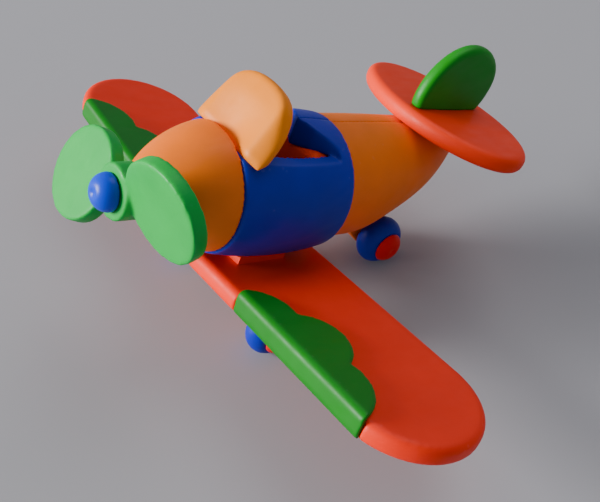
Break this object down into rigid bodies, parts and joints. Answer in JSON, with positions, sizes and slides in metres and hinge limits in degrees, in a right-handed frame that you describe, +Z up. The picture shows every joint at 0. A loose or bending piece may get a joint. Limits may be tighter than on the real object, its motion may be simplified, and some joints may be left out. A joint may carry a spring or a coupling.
{
  "type": "toy airplane",
  "caption": "Snap-together toy airplane with a spinning propeller, upturned wings with clip-on covers, an open cockpit and rolling wheels.",
  "frame": {"origin": "centre of the footprint on the ground under the wheels", "axes": "+Z up, -Y towards the nose, +X towards the airplane's left wing tip"},
  "size_m": [0.1158, 0.092, 0.0497],
  "materials": {
    "green_propeller": "satin moulded plastic",
    "blue_pin": "satin moulded plastic",
    "amber_body": "satin moulded plastic",
    "amber_screen": "satin moulded plastic",
    "blue_body": "satin moulded plastic",
    "orange_seat": "satin moulded plastic",
    "orange_wing": "satin moulded plastic",
    "green_cover": "satin moulded plastic",
    "amber_gear": "satin moulded plastic",
    "blue_wheel": "satin moulded plastic",
    "red_pin": "satin moulded plastic",
    "orange_tailplane": "satin moulded plastic",
    "green_fin": "satin moulded plastic"
  },
  "bodies": {
    "airframe": {"nose_pin": "blue_pin", "nose_cone": "amber_body", "windshield": "amber_screen", "cockpit_left": "blue_body", "cockpit_right": "blue_body", "tail_left": "amber_body", "tail_right": "amber_body", "seat": "orange_seat", "wing_left": "orange_wing", "wing_right": "orange_wing", "wing_cover_left": "green_cover", "wing_cover_right": "green_cover", "wing_saddle": "orange_wing", "gear_leg_left": "amber_gear", "gear_leg_right": "amber_gear", "wing_pins": "red_pin", "wheel_pin_left": "red_pin", "wheel_pin_right": "red_pin", "tail_wheel_bracket": "amber_gear", "tail_wheel_pin": "red_pin", "stabilizer": "orange_tailplane", "fin": "green_fin"},
    "propeller": {"propeller": "green_propeller"},
    "wheel_left": {"wheel_left": "blue_wheel"},
    "wheel_right": {"wheel_right": "blue_wheel"},
    "tail_wheel": {"tail_wheel": "blue_wheel"}
  },
  "joints": [
    {"name": "propeller_spin", "type": "hinge", "parent": "airframe", "child": "propeller", "pos_m": [0, -0.03903, 0.03687], "axis": [0, 0.9553, -0.2957], "continuous": true},
    {"name": "wheel_left_spin", "type": "hinge", "parent": "airframe", "child": "wheel_left", "pos_m": [0.0142, -0.01719, 0.0053], "axis": [1, 0, 0], "continuous": true},
    {"name": "wheel_right_spin", "type": "hinge", "parent": "airframe", "child": "wheel_right", "pos_m": [-0.0142, -0.01719, 0.0053], "axis": [1, 0, 0], "continuous": true},
    {"name": "tail_wheel_spin", "type": "hinge", "parent": "airframe", "child": "tail_wheel", "pos_m": [0.005, 0.01704, 0.0053], "axis": [1, 0, 0], "continuous": true}
  ]
}
